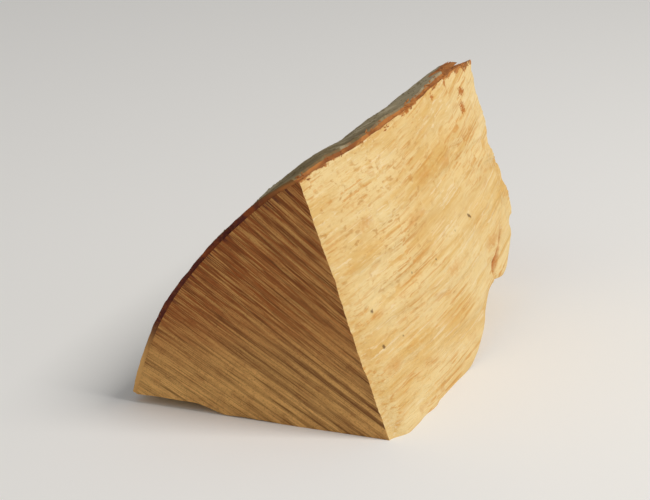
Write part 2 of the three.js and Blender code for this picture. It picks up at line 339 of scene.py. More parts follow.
class Wedge:
    """The log drawn from its sizes: x runs along the grain, across and up lie in a section."""

    CALM_REACH, CALM_LEAST, FINE_LEAST = 60 * MM, 0.3, 0.5  # the riven face is calmer near the near cut
    SLIVER_SHARE = 0.25  # of the underside's width
    # The slanting crack: its hollow is gentle above and steep below, and closes along the grain. The step
    # beside it widens until it is gone.
    CRACK_SLOPE, CRACK_ABOVE, CRACK_BELOW = 0.65, 9 * MM, 1.5 * MM
    CRACK_OPENS, CRACK_CLOSES, CRACK_FADE = 5 * MM, 230 * MM, 9 * MM
    CRACK_LIP = 0.03  # share of the face's height over which the hollow starts
    STEP_WIDTH, STEP_WIDEST, STEP_FADE = 1.6 * MM, 22 * MM, 40 * MM
    REST_X, REST_ACROSS, REST_RADIUS, REST_DEPTH = 66 * MM, 52 * MM, 90 * MM, 3 * MM  # flat resting spot
    # Torn notches in the riven face's far edge, and a tip left standing at its top: distance down from the
    # top, depth and half width
    FAR_NOTCHES = ((54, 7, 15), (75, 3, 6), (88, 2.5, 5), (97, 6, 10), (2, -6, 6))
    NOTCH_REACH, NOTCH_START = 9 * MM, 0.85
    TIP_START, TIP_DROP, TIP_SHARE = 244 * MM, 2.2 * MM, 0.1  # the top edge falls at its far end
    # A hollow along the top that slants back across the bark: its depth and slant, from where to where it
    # deepens and fades along the grain, and how far behind the top edge it starts to fade and has gone
    HOLLOW_DEPTH, HOLLOW_SLANT = 2.6 * MM, 2.0
    HOLLOW_DEEPENS, HOLLOW_FADES = (28 * MM, 75 * MM), (150 * MM, 240 * MM)
    HOLLOW_ENDS = (65 * MM, 150 * MM)
    NICK_START = 2 * MM  # of inner bark lost before its edge is nicked

    def __init__(self, sizes, surface):
        self.sizes, self.surface = sizes, surface
        self.wood_radius = sizes.trunk_radius - sizes.bark_thickness - sizes.bark_gap

    def on_trunk(self, turn, radius):
        """A point of the section, at a turn round the pith and a distance from it."""
        return self.sizes.pith[0] + radius * np.cos(turn), self.sizes.pith[1] + radius * np.sin(turn)

    def hollow(self, x, turn):
        """How far the trunk is hollowed along its top."""
        behind = (self.sizes.top_angle - turn) * self.sizes.trunk_radius
        along = x - self.HOLLOW_SLANT * np.maximum(behind, 0)
        open_here = ramp(along, *self.HOLLOW_DEEPENS) * (1 - ramp(along, *self.HOLLOW_FADES))
        return self.HOLLOW_DEPTH * open_here * (1 - ramp(behind, *self.HOLLOW_ENDS))

    def swell(self, x, turn):
        """How far the trunk stands out of its plain round."""
        s = self.sizes
        swell = relief(TRUNK_SWELL, x, turn * s.trunk_radius) + s.trunk_taper * x / s.length
        return swell - self.hollow(x, turn)

    def far_cut(self, across, up):
        """Where the far cut lies at a point of the section."""
        top = self.on_trunk(self.sizes.top_angle, self.sizes.trunk_radius)[1]
        lean = self.sizes.far_end_lean * (top - up) / top
        return self.sizes.length - lean + relief(FAR_CUT_WAVE, across, up)

    def far_notch(self, across, up):
        """How much is torn out of the far end at a point of the section."""
        top = self.on_trunk(self.sizes.top_angle, self.wood_radius + self.sizes.trunk_taper)
        height = math.hypot(*top)
        down = height - (across * top[0] + up * top[1]) / height
        inside = np.maximum(0, (across * top[1] - up * top[0]) / height)
        torn = sum(depth * bump((down / MM - middle) / half) for middle, depth, half in self.FAR_NOTCHES)
        return torn * MM * np.exp(-inside / self.NOTCH_REACH)

    def top_angle(self, x):
        """Where the ragged top edge lies, as an angle seen from the pith."""
        rag = relief(TOP_EDGE_RAG, x) + relief(TOP_EDGE_FRAY, x)
        return self.sizes.top_angle - rag / self.wood_radius

    def tip_fall(self, x):
        """How far the top edge has fallen towards its far end."""
        return self.TIP_DROP * ramp(x, self.TIP_START, self.sizes.length)

    def top_edge(self, x):
        turn = self.top_angle(x)
        return self.on_trunk(turn, self.wood_radius + self.swell(x, turn) - self.tip_fall(x))

    def back_lift(self, x):
        """How high the back edge, where the underside meets the bark, stands off the ground."""
        return self.sizes.near_lift * (1 - smooth(x / self.sizes.near_lift_fade))

    def back_angle(self, x):
        return np.arcsin((self.back_lift(x) - self.sizes.pith[1]) / self.sizes.trunk_radius)

    def back_edge(self, x):
        turn = self.back_angle(x)
        return self.on_trunk(turn, self.wood_radius + self.swell(x, turn))[0], self.back_lift(x)

    def raised(self, x):
        """How much of its lift the underside has, from 0 to 1."""
        return ramp(x, self.sizes.run_out_start, self.sizes.run_out_end)

    def run_out(self, x):
        """How far the underside's front edge has lifted off the ground."""
        return self.sizes.run_out_height * self.raised(x)

    def sliver(self, x):
        """How far the torn sliver hangs below the lifted edge."""
        return self.sizes.sliver_drop * bump((x - self.sizes.sliver_middle) / self.sizes.sliver_half)

    def crack_height(self, x):
        """Height of the slanting crack over the front edge."""
        return self.CRACK_SLOPE * (x - self.sizes.crack_start)

    def crack_open(self, x):
        """1 where the slanting crack stands open, 0 before it starts and once it has closed."""
        opened = smooth((x - self.sizes.crack_start) / self.CRACK_OPENS)
        return opened * (1 - smooth((x - self.CRACK_CLOSES) / self.CRACK_FADE))

    def set_back(self, x, height):
        """How far the riven face is set back below the crack, at a height over the front edge."""
        width = mix(self.STEP_WIDTH, self.STEP_WIDEST, smooth((x - self.CRACK_CLOSES) / self.STEP_FADE))
        below = smooth((self.crack_height(x) - height) / width)
        return np.where(x > self.sizes.crack_start, self.sizes.crack_set_back * below, 0.0)

    def crack_hollow(self, x, height):
        """How far the face falls away to the crack, from 0 to 1."""
        off = height - self.crack_height(x)
        near = np.where(off > 0, off / self.CRACK_ABOVE, -off / self.CRACK_BELOW)
        return (1 - smooth(near)) * self.crack_open(x)

    def front_edge(self, x):
        across, up = self.top_edge(x)
        reach = np.hypot(across, up)
        lift = np.maximum(0, self.run_out(x) - self.sliver(x))
        flare = self.sizes.foot_flare * smooth(x / self.sizes.foot_flare_reach)
        inward = self.set_back(x, 0) + relief(FRONT_EDGE_RAG, x) - flare
        return across * lift / up + inward * up / reach, lift

    def riven_height(self, x):
        """Length of the riven face from its front edge up to its top edge."""
        front, lift = self.front_edge(x)
        top, rise = self.top_edge(x)
        return np.hypot(top - front, rise - lift)

    def torn_fibres(self, x, down):
        """Fine relief of a riven face: broken layers, bundles of fibres and single ones."""
        layers = relief(LAMELLA, x, down) + relief(LAMELLA_WAVER, x, down)
        torn = self.surface.lamella_step * (torn_layers(layers) + 0.5)
        return torn + relief(FIBRE_BUNDLE, x, down) + relief(FIBRE_HAIR, x, down)

    def riven(self, x, share):
        """The riven face, at shares of the way up from the front edge to the top edge."""
        front, lift = self.front_edge(x)
        top, rise = self.top_edge(x)
        run, climb = top - front, rise - lift
        height = np.hypot(run, climb)
        down = (1 - share) * height
        calm = mix(self.CALM_LEAST, 1, smooth(x / self.CALM_REACH))
        broad = (relief(RIVEN_WAVE, x, down) + relief(RIVEN_FIBRE, x, down)) * calm
        fine = self.torn_fibres(x, down) * mix(self.FINE_LEAST, 1.0, calm)
        standing = (broad + fine) * np.sqrt(np.sin(np.pi * share))
        standing += self.set_back(x, 0) * (1 - share) - self.set_back(x, share * height)
        hollow = self.surface.crack_depth * self.crack_hollow(x, share * height)
        standing -= hollow * smooth(share / self.CRACK_LIP)
        standing = np.where(share > 0, standing, 0.0)
        outward, upward = standing * climb / height, standing * run / height
        return front + run * share - outward, lift + climb * share + upward

    def under(self, x, share):
        """The riven underside, at shares of the way from the front edge to the back edge."""
        s = self.sizes
        back, back_lift = self.back_edge(x)
        across = mix(self.front_edge(x)[0], back, share)
        hanging = self.sliver(x) * (1 - smooth(share / self.SLIVER_SHARE))
        near_lift = back_lift * ramp(across, s.near_lift_from, s.near_lift_to)
        lifted = self.run_out(x) * (1 - share) - hanging + near_lift
        from_spot = np.hypot(x - self.REST_X, across - self.REST_ACROSS)
        kept = self.REST_DEPTH * bump(np.minimum(from_spot / self.REST_RADIUS, 1))
        hollow = np.maximum(0, relief(UNDER_HOLLOW, x, across) - kept)
        ridges = (relief(UNDER_FIBRE, x, across) + self.torn_fibres(x, across)) * self.raised(x)
        return across, np.maximum(0, lifted + (hollow + ridges) * np.sin(np.pi * share))

    def round_side(self, x, share):
        """The side under the bark, at shares of the way from the top edge to the back edge."""
        pith = self.sizes.pith
        back, back_lift = self.back_edge(x)
        turn = mix(self.top_angle(x), np.arctan2(back_lift - pith[1], back - pith[0]), share)
        fibre = relief(BAST_FIBRE, x, turn * self.sizes.trunk_radius) * np.sin(np.pi * share)
        lower = np.abs(fibre) + self.tip_fall(x) * bump(share / self.TIP_SHARE)
        return self.on_trunk(turn, self.wood_radius + self.swell(x, turn) - lower)

    def bark_edges(self, x):
        """The bark's torn edges, as angles seen from the pith: the top one, the low one, and their tears."""
        s = self.sizes
        skin_gone = s.torn_depth * ramp(x, s.torn_start, s.torn_full)
        gone = INNER_BARK_LOSS * ramp(x - INNER_BARK_LEFT, s.torn_start, s.torn_full)
        nick = loss(BARK_NICK, x) * smooth(gone / self.NICK_START)
        top = self.top_angle(x) - (s.bark_gap + loss(BARK_RAG, x) + gone + nick) / s.trunk_radius
        low = self.back_angle(x) + (s.bark_gap + loss(BARK_RAG, x, LOW_EDGE_ROW)) / s.trunk_radius
        tear = loss(BARK_TEAR, x) + loss(BARK_NICK, x, LOW_EDGE_ROW)
        tear = (tear + skin_gone - gone) / s.trunk_radius
        low_tear = loss(BARK_TEAR, x, LOW_EDGE_ROW) / s.trunk_radius
        return top, low, tear, low_tear

    def lichen_cover(self, x, arc):
        """1 where round patches of lichen cover the bark and 0 where it is bare."""
        u, v = x / LICHEN_ROOM, arc / LICHEN_ROOM
        ragged = relief(CRUST_EDGE, x, arc)
        cover = np.zeros_like(arc)
        for beside_u, beside_v in itertools.product((-1, 0, 1), repeat=2):
            i, j = np.floor(u) + beside_u, np.floor(v) + beside_v
            far_u = u - i - 0.5 - LICHEN_STRAY * cell_value(i, j, LICHEN_SEED)
            far_v = v - j - 0.5 - LICHEN_STRAY * cell_value(i, j, LICHEN_SEED + 1)
            size = LICHEN_LARGEST * cell_value(i, j, LICHEN_SEED + 2)
            inside = size - np.hypot(far_u, far_v) + ragged
            cover = np.maximum(cover, np.where(size > 0, smooth(inside / LICHEN_RIM), 0.0))
        return cover

    def bark_relief(self, x, arc):
        """How far the bark's folds, creases and lichen stand out of its round."""
        skin = relief(BARK_WRINKLE, x, arc) + relief(BARK_FOLD, x, arc) + relief(BARK_CREASE, x, arc)
        return skin + relief(BARK_PIMPLE, x, arc) + self.surface.crust_height * self.lichen_cover(x, arc)


# Meshes

def grid_faces(rows, columns, closed):
    """Quads of a grid of points, row by row, with the last column joined to the first where it is closed."""
    i, j = np.meshgrid(np.arange(rows - 1), np.arange(columns if closed else columns - 1), indexing="ij")
    after = (j + 1) % columns
    corners = (i * columns + j, (i + 1) * columns + j, (i + 1) * columns + after, i * columns + after)
    return np.stack(corners, axis=-1).reshape(-1, 4)


def new_piece(name, points, faces, materials, face_materials, values):
    """A closed mesh at the frame's origin, with a material for each face and named values at its points."""
    mesh = bpy.data.meshes.new(name)
    mesh.from_pydata((points + np.array(FOOT)).tolist(), [], faces)
    mesh.validate()
    for material in materials:
        mesh.materials.append(material)
    mesh.polygons.foreach_set("material_index", np.asarray(face_materials, np.int32))
    mesh.polygons.foreach_set("use_smooth", np.ones(len(faces), bool))
    mesh.set_sharp_from_angle(angle=SHARP_EDGE)
    for label, value in values.items():
        attribute = mesh.attributes.new(label, "FLOAT", "POINT")
        attribute.data.foreach_set("value", np.asarray(value, np.float32).ravel())
    mesh.update()
    piece = bpy.data.objects.new(name, mesh)
    bpy.context.scene.collection.objects.link(piece)
    return piece


def finish_piece(piece, slot, *nodes):
    """Lets a piece ride on the log and hides the solids that it stands for. Its slot is not used."""
    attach(piece, BODY)
    if nodes:
        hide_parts(*nodes)
    return piece


def close_end(points, rim, outward, face_x, faces):
    """Fills the end inside a rim of points with rings that close on its middle."""
    middle = points[rim].mean(axis=0)
    count = len(rim)
    after = np.roll(np.arange(count), -1)
    outer = rim
    shares = np.linspace(0, 1, END_RINGS + 1)[1:-1]
    for share in np.concatenate(([RIM_RING], shares)):
        ring = mix(points[rim], middle, share)
        ring[:, 0] = face_x(ring[:, 1], ring[:, 2])
        inner = np.arange(count) + len(points)
        points = np.concatenate((points, ring))
        corners = (outer, inner, inner[after], outer[after])
        faces.append(np.stack(corners if outward else corners[::-1], axis=1))
        outer = inner
    middle[0] = face_x(middle[1], middle[2])
    points = np.concatenate((points, middle[None]))
    centre = np.full(count, len(points) - 1)
    corners = (outer, centre, outer[after])
    return points, np.stack(corners if outward else corners[::-1], axis=1)


def wood_piece(wedge, materials):
    """The wood: riven face, side under the bark and underside round a row of stations, and two sawn ends."""
    sizes = wedge.sizes
    along = np.linspace(0, 1, STATIONS + 1)[:, None]
    x = along * sizes.length
    riven_share = (np.arange(RIVEN_STEPS) / RIVEN_STEPS)[None]
    round_share = (np.arange(ROUND_STEPS) / ROUND_STEPS)[None]
    under_share = (np.arange(UNDER_STEPS, 0, -1) / UNDER_STEPS)[None]
    sides = (wedge.riven(x, riven_share), wedge.round_side(x, round_share), wedge.under(x, under_share))
    across = np.concatenate([a for a, _ in sides], axis=1)
    up = np.concatenate([u for _, u in sides], axis=1)

    # Both cuts fray the fibres at their rims, and the far one has lost pieces along the riven face.
    columns = across.shape[1]
    rim_length = np.arange(columns) * MM
    reach = wedge.far_cut(across, up)
    lost = wedge.far_notch(across, up)
    place_x = along * reach - ramp(along, wedge.NOTCH_START, 1) * lost
    place_x[0] += loss(CUT_FRAY, rim_length)
    place_x[-1, :RIVEN_STEPS] += relief(FAR_FRAY, rim_length)[:RIVEN_STEPS]
    points = np.stack((place_x, across, up), axis=-1).reshape(-1, 3)

    def near_x(a, u):
        return loss(SAW_MARK, u * SAW_LINE[0] - a * SAW_LINE[1], a * SAW_LINE[0] + u * SAW_LINE[1])

    def far_x(a, u):
        return wedge.far_cut(a, u) - wedge.far_notch(a, u) + relief(FAR_SAW_MARK, u - FAR_SAW_SLANT * a, a)

    side_faces = grid_faces(STATIONS + 1, columns, closed=True)
    end_faces = []
    near_rim = np.arange(columns)
    far_rim = near_rim + STATIONS * columns
    points, near_middle = close_end(points, near_rim, False, near_x, end_faces)
    points, far_middle = close_end(points, far_rim, True, far_x, end_faces)
    end_faces = np.concatenate(end_faces)
    faces = side_faces.tolist() + end_faces.tolist() + near_middle.tolist() + far_middle.tolist()

    riven, sawn, bast = range(3)
    column_material = np.full(columns, riven)
    column_material[RIVEN_STEPS : RIVEN_STEPS + ROUND_STEPS] = bast
    face_materials = np.full(len(faces), sawn)
    face_materials[: len(side_faces)] = np.tile(column_material, STATIONS)

    # Where splinters lie: mostly along the lifted edge and the crack, and none near the far end.
    cracked = wedge.crack_hollow(x, riven_share * wedge.riven_height(x))
    lifted = smooth((x - SPLINTER_START) / SPLINTER_GROWS) * bump(riven_share / SPLINTER_BAND)
    torn = np.zeros((STATIONS + 1, columns))
    kept = smooth((SPLINTER_STOP - along) / SPLINTER_FADE)
    torn[:, :RIVEN_STEPS] = (SPLINTER_LEAST + lifted + cracked) * kept
    # The crack's hollow, which the wood's material paints in torn fibres' orange and in painted shade.
    opened = np.zeros_like(torn)
    opened[:, :RIVEN_STEPS] = cracked

    # Where inner bark clings: just below the top edge, and on the side that the torn corner lays bare.
    below = np.full_like(torn, sizes.length)
    below[:, :RIVEN_STEPS] = (1 - riven_share) * wedge.riven_height(x)
    below[:, RIVEN_STEPS : RIVEN_STEPS + ROUND_STEPS] = 0.0
    bared = ramp(x, sizes.torn_start, sizes.torn_full)
    clinging = np.where(below < CLING_REACH, mix(*CLING_SHARE, bared), 0.0) * (along < CLING_END)
    clinging[:, RIVEN_STEPS + CLING_COLUMNS :] = 0.0

    values = {"tear": torn, "split": opened, "below": below, "cling": clinging}
    spare = len(points) - torn.size
    values = {label: np.append(value, np.zeros(spare)) for label, value in values.items()}
    return new_piece("split_wood", points, faces, materials, face_materials, values)


def bark_piece(wedge, materials):
    """The bark: a thin shell whose outer layer is torn back further than its inner one."""
    sizes = wedge.sizes
    along = np.linspace(0, 1, BARK_STATIONS + 1)[:, None]
    x = along * sizes.length
    top, low, tear, low_tear = wedge.bark_edges(x)
    share = np.linspace(0, 1, BARK_STEPS + 1)[None]
    through = (np.arange(1, TORN_STEPS + 1) / (TORN_STEPS + 1))[None]

    def outer_radius(turn):
        arc = turn * sizes.trunk_radius
        return sizes.trunk_radius + wedge.bark_relief(x, arc) + wedge.swell(x, turn)

    def inner_radius(turn):
        return wedge.wood_radius + wedge.swell(x, turn)

    def torn_edge(turn_from, radius_from, turn_to, radius_to, rise=1.0):
        """Steps through the bark, a little hollow as torn fibres are."""
        return mix(turn_from, turn_to, through**TORN_HOLLOW), mix(radius_from, radius_to, through**rise)

    outer_turn = mix(top - tear, low + low_tear, share)
    inner_turn = mix(low, top, share)
    outer, inner = outer_radius(outer_turn), inner_radius(inner_turn)
    low_turn, low_radius = torn_edge(outer_turn[:, -1:], outer[:, -1:], inner_turn[:, :1], inner[:, :1])
    rise = mix(1.0, INNER_BARK_RISE, ramp(x, sizes.torn_start, sizes.torn_full))
    top_inner, top_outer = (inner_turn[:, -1:], inner[:, -1:]), (outer_turn[:, :1], outer[:, :1])
    top_turn, top_radius = torn_edge(*top_inner, *top_outer, rise)
    turn = np.concatenate((outer_turn, low_turn, inner_turn, top_turn), axis=1)
    radius = np.concatenate((outer, low_radius, inner, top_radius), axis=1)
    across, up = wedge.on_trunk(turn, radius)
    place_x = along * wedge.far_cut(across, up)
    arc = turn * sizes.trunk_radius
    place_x[0] += loss(BARK_CHIP, arc[0]) + loss(CUT_FRAY, arc[0])
    place_x[-1] -= loss(BARK_CHIP, arc[-1], BARK_STATIONS) + loss(BARK_NICK, arc[-1])
    points = np.stack((place_x, across, np.maximum(up, 0)), axis=-1).reshape(-1, 3)

    columns = turn.shape[1]
    shell = grid_faces(BARK_STATIONS + 1, columns, closed=True)
    outside = np.arange(BARK_STEPS)
    opposite = 2 * BARK_STEPS + TORN_STEPS + 1 - outside
    near_strip = np.stack((outside, outside + 1, opposite - 1, opposite), axis=1)
    low_corner = np.arange(BARK_STEPS, BARK_STEPS + TORN_STEPS + 2)
    top_corner = np.append(np.arange(2 * BARK_STEPS + TORN_STEPS + 1, columns), 0)
    last = BARK_STATIONS * columns
    ends = near_strip.tolist() + [low_corner.tolist(), top_corner.tolist()]
    ends += [[v + last for v in reversed(face)] for face in ends]
    faces = shell.tolist() + ends

    skin, bast, cut = range(3)
    column_material = np.full(columns, bast)
    column_material[: BARK_STEPS + TORN_SKIN] = skin
    column_material[-TORN_SKIN:] = skin
    shell_material = np.tile(column_material, (BARK_STATIONS, 1))
    shell_material[x[:-1, 0] > sizes.torn_start, -TORN_STEPS - 1 :] = bast
    face_materials = np.full(len(faces), cut)
    face_materials[: len(shell)] = shell_material.ravel()

    torn = np.zeros_like(turn)
    tufts = sum(TUFT_SHREDS * bump((x - tuft * MM) / TUFT_HALF) for tuft in TUFTS)
    torn[:, -TORN_STEPS:] = SHREDS_LEAST + tufts
    bare = np.zeros_like(turn)
    at_cut, at_edge = LENTICEL_MARGINS
    bare[at_cut:-at_cut, at_edge : BARK_STEPS + 1 - at_edge] = 1.0
    edge = np.ones_like(turn)
    from_edge = np.minimum(share, 1 - share) * BARK_STEPS
    edge[:, : BARK_STEPS + 1] = bump(from_edge / BROKEN_STEPS)
    values = {"crust": wedge.lichen_cover(x, arc), "torn": torn, "bare": bare, "edge": edge}
    return new_piece("bark_skin", points, faces, materials, face_materials, values)


# Materials

def add_node(tree, kind, sockets=(), **settings):
    """Adds a node to a tree, with its settings made and its sockets set or linked."""
    made = tree.nodes.new(kind)
    for name, value in settings.items():
        setattr(made, name, value)
    for name, value in dict(sockets).items():
        if isinstance(value, bpy.types.NodeSocket):
            tree.links.new(value, made.inputs[name])
        else:
            made.inputs[name].default_value = value
    return made


def add_value(tree, kind, sockets=(), **settings):
    """What a new node gives first."""
    return add_node(tree, kind, sockets, **settings).outputs[0]


class Recipe:
    """A material in the making: patterns are worked out, and colours are laid over each other by them."""

    SPECULAR = 0.15

    def __init__(self, name, roughness, ground):
        self.material = bpy.data.materials.new(name)
        self.material.use_nodes = True
        self.tree = self.material.node_tree
        self.shader = self.tree.nodes["Principled BSDF"]
        self.shader.inputs["Roughness"].default_value = roughness
        self.shader.inputs["Specular IOR Level"].default_value = self.SPECULAR
        self.place = self.add("ShaderNodeTexCoord").outputs["Object"]
        self.base = ground

    def add(self, kind, sockets=(), **settings):
        return add_node(self.tree, kind, sockets, **settings)

    def math(self, operation, a, b=0.0):
        return self.add("ShaderNodeMath", {0: a, 1: b}, operation=operation).outputs[0]

    def times(self, value, *others):
        """The product of several values."""
        for other in others:
            value = self.math("MULTIPLY", value, other)
        return value

    def join(self, operation, a, b):
        """A vector worked out from two others."""
        return self.add("ShaderNodeVectorMath", {0: a, 1: b}, operation=operation).outputs[0]

    def size(self, vector):
        return self.add("ShaderNodeVectorMath", {0: vector}, operation="LENGTH").outputs["Value"]

    def vector(self, x, y, z=0.0):
        return self.add("ShaderNodeCombineXYZ", {0: x, 1: y, 2: z}).outputs[0]

    def stretched(self, per_metre, vector=None):
        """The place on the log, or another vector, counted in patches to the metre."""
        return self.join("MULTIPLY", vector or self.place, per_metre)

    def noise(self, vector, detail=2.0, roughness=0.5, distortion=0.0):
        sockets = {"Vector": vector, "Scale": 1.0, "Detail": detail, "Roughness": roughness}
        sockets["Distortion"] = distortion
        return self.add("ShaderNodeTexNoise", sockets).outputs["Fac"]

    def grit(self, per_metre, **how):
        """Noise with so many patches to the metre every way."""
        return self.noise(self.stretched((per_metre,) * 3), **how)

    def rise(self, value, low, high, top=1.0):
        """0 below low and top above high, with an even rise between."""
        sockets = {"Value": value, "From Min": low, "From Max": high, "To Max": top}
        return self.add("ShaderNodeMapRange", sockets, interpolation_type="SMOOTHSTEP").outputs[0]

    def mix(self, share, a, b):
        a, b = (c if isinstance(c, bpy.types.NodeSocket) else (*c, 1.0) for c in (a, b))
        return self.add("ShaderNodeMix", {0: share, 6: a, 7: b}, data_type="RGBA").outputs[2]

    def paint(self, colour, value, *rise):
        """Lays a colour over the rest: by a share of it, or where a value rises from low to high."""
        share = self.rise(value, *rise) if rise else value
        self.base = self.mix(share, self.base, colour)

    def attribute(self, name):
        return self.add("ShaderNodeAttribute", attribute_name=name).outputs["Fac"]

    def axis(self, letter):
        """The place on the log along one of the frame's axes."""
        return self.add("ShaderNodeSeparateXYZ", {0: self.place}).outputs[letter]

    def polar(self, centre):
        """Distance from a line along the grain, and the turn round it."""
        parts = self.add("ShaderNodeSeparateXYZ", {0: self.join("SUBTRACT", self.place, centre)})
        distance = self.size(self.vector(0.0, parts.outputs["Y"], parts.outputs["Z"]))
        return distance, self.math("ARCTAN2", parts.outputs["Z"], parts.outputs["Y"])

    def round_pith(self, wedge):
        """Distance from the pith, and the turn round it."""
        return self.polar(FOOT + Vector((0, *wedge.sizes.pith)))

    def on_face(self, wedge):
        """The place along the grain from the near end, up the riven face from its foot, and out of it."""
        across, up = wedge.top_edge(0.0)
        height = math.hypot(across, up)
        off = self.join("SUBTRACT", self.place, FOOT)

        def along(*direction):
            sockets = {0: off, 1: direction}
            return self.add("ShaderNodeVectorMath", sockets, operation="DOT_PRODUCT").outputs["Value"]

        level = along(0, across / height, up / height)
        return along(1, 0, 0), level, along(0, -up / height, across / height)

    def spots(self, vector, marks):
        """1 inside ragged spots round the places of some marks and 0 outside."""
        ragged = self.stretched((marks.ragged,) * 3, vector)
        wander = self.add("ShaderNodeTexNoise", {"Vector": ragged, "Scale": 1.0}).outputs["Color"]
        wander = self.join("SUBTRACT", wander, (0.5, 0.5, 0.5))
        moved = self.join("ADD", vector, self.join("MULTIPLY", wander, (marks.waver, marks.waver, 0.0)))
        nearest = 1.0
        for spot in marks.places:
            off = self.join("SUBTRACT", moved, (*along_fibres(*spot), 0.0))
            off = self.join("MULTIPLY", off, (marks.slim, 1.0, 0.0))
            nearest = self.math("MINIMUM", self.size(off), nearest)
        return self.rise(nearest, marks.radius, marks.core * marks.radius, marks.share)

    def finish(self, *heights):
        """The material with its colour, and with heights as pairs of a pattern and how far it stands out."""
        if isinstance(self.base, bpy.types.NodeSocket):
            self.tree.links.new(self.base, self.shader.inputs["Base Color"])
        else:
            self.shader.inputs["Base Color"].default_value = (*self.base, 1.0)
        normal = self.shader.inputs["Normal"]
        for height, distance in reversed(heights):
            sockets = {"Height": height, "Distance": distance, "Strength": 1.0}
            bump_node = self.add("ShaderNodeBump", sockets)
            self.tree.links.new(bump_node.outputs["Normal"], normal)
            normal = bump_node.inputs["Normal"]
        return self.material


# Marks of the riven face: their places in millimetres along from the near end and up from the foot, their
# radius and the share of it that is fully coloured, how slim they are along the grain, how many bends to the
# metre make them ragged and how far those reach, and their share of colour
Marks = namedtuple("Marks", "places radius core slim ragged waver share")
STAIN_PLACES = ((52, 107), (186, 107), (139, 53), (149, 108), (205, 50), (27, 33))
BIT_PLACES = ((246, 135), (243, 136), (240, 128), (240, 125), (203, 143), (227, 148), (224, 146), (160, 146))
SPECK_PLACES = ((26, 65), (25, 45), (187, 71), (186, 72))
FAINT_PLACES = ((51, 42), (89, 67), (160, 70), (123, 64))
STAINS = Marks(STAIN_PLACES, 5 * MM, 0.0, 0.3, 330, 8 * MM, 0.55)
BAST_BITS = Marks(BIT_PLACES, 2.4 * MM, 0.5, 0.7, 760, 7.5 * MM, 0.95)
SPECKS = Marks(SPECK_PLACES, 1.5 * MM, 0.3, 0.7, 700, 1.6 * MM, 0.8)
FAINT_SPECKS = Marks(FAINT_PLACES, 0.9 * MM, 0.2, 0.7, 700, 1.2 * MM, 0.6)


def along_fibres(along_mm, up_mm):
    """A place of the riven face, as it lies along the fibres, which climb towards the far end."""
    past = max(along_mm * MM - GRAIN_BEND_START, 0.0)
    return along_mm * MM, up_mm * MM - GRAIN_BEND * past**2


def riven_wood(colours, wedge):
    """Pale split beech: soft streaks along fibres that climb at the far end, short flecks, a few specks."""
    wood = Recipe("riven_wood", 0.74, colours.riven_pale)
    x, level, out = wood.on_face(wedge)
    past = wood.math("MAXIMUM", wood.math("SUBTRACT", x, GRAIN_BEND_START), 0.0)
    level = wood.math("SUBTRACT", level, wood.times(past, past, GRAIN_BEND))
    grain = wood.vector(x, level, out)

    def fibres(along, across, **how):
        """Noise with so many patches to the metre along the fibres and across them."""
        return wood.noise(wood.stretched((along, across, across), grain), **how)

    tone = fibres(9, 30, detail=3)
    blotch = fibres(45, 170, detail=3, distortion=0.5)
    band = fibres(10, 260, detail=3, roughness=0.6)
    streak = fibres(15, 640, detail=2, roughness=0.6, distortion=0.3)
    group = fibres(16, 45, detail=2)
    fleck = fibres(120, 400, detail=2, distortion=0.2)
    gleam = fibres(14, 720, detail=2, roughness=0.6)
    cling = fibres(75, 260, detail=3, roughness=0.6)
    clump = fibres(60, 110, detail=2)
    fibre = fibres(26, 1700, detail=2, roughness=0.65)
    hair = fibres(50, 3000, detail=1)

    wood.paint(colours.riven_tan, tone, 0.36, 0.72)
    wood.paint(colours.riven_tan, x, 14 * MM, 0.0, 0.35)
    wood.paint(colours.riven_tan, band, 0.50, 0.68, 0.75)
    wood.paint(colours.riven_pale, band, 0.48, 0.30, 0.75)
    wood.paint(colours.riven_orange, blotch, 0.57, 0.74, 0.42)
    streaks = wood.times(wood.rise(streak, 0.50, 0.66), wood.rise(group, 0.38, 0.62, 0.8))
    wood.paint(colours.riven_orange, streaks)
    wood.paint(colours.riven_pale, streak, 0.46, 0.28, 0.45)
    wood.paint(colours.riven_tan, fibre, 0.50, 0.72, 0.45)
    gleams = wood.times(wood.rise(gleam, 0.54, 0.70), wood.rise(group, 0.58, 0.40, 0.65))
    wood.paint(colours.riven_gleam, gleams)

    # Flecks crowd together near the top and the near end.
    crowd = wood.times(wood.rise(level, 20 * MM, 110 * MM), wood.rise(x, 240 * MM, 90 * MM))
    crowd = wood.times(wood.math("ADD", crowd, 0.15), wood.rise(clump, 0.42, 0.60))
    wood.paint(colours.fleck, wood.times(wood.rise(fleck, 0.54, 0.68), crowd, 0.6))
    # The crack's hollow: the torn fibres' own orange, darkened as painted shade.
    wood.paint(colours.crack, wood.times(wood.attribute("split"), 0.85))

    face = wood.vector(x, level)
    wood.paint(colours.riven_orange, wood.spots(face, STAINS))
    wood.paint(colours.bit, wood.spots(face, BAST_BITS))
    wood.paint(colours.speck, wood.spots(face, SPECKS))
    wood.paint(colours.speck, wood.spots(face, FAINT_SPECKS))

    # Inner bark clings in a ragged margin along the top edge, widest at the far corner.
    ragged = wood.times(wood.math("SUBTRACT", cling, 0.49), 13 * MM)
    margin = wood.math("ADD", ragged, wood.rise(x, 226 * MM, 246 * MM, 2 * MM))
    margin = wood.math("SUBTRACT", wood.attribute("below"), margin)
    clinging = wood.mix(wood.rise(streak, 0.42, 0.60), colours.bit, colours.bast_dark)
    wood.paint(clinging, margin, 0.5 * MM, -0.5 * MM, 0.9)
    return wood.finish((fibre, 0.45 * MM), (hair, 0.15 * MM))


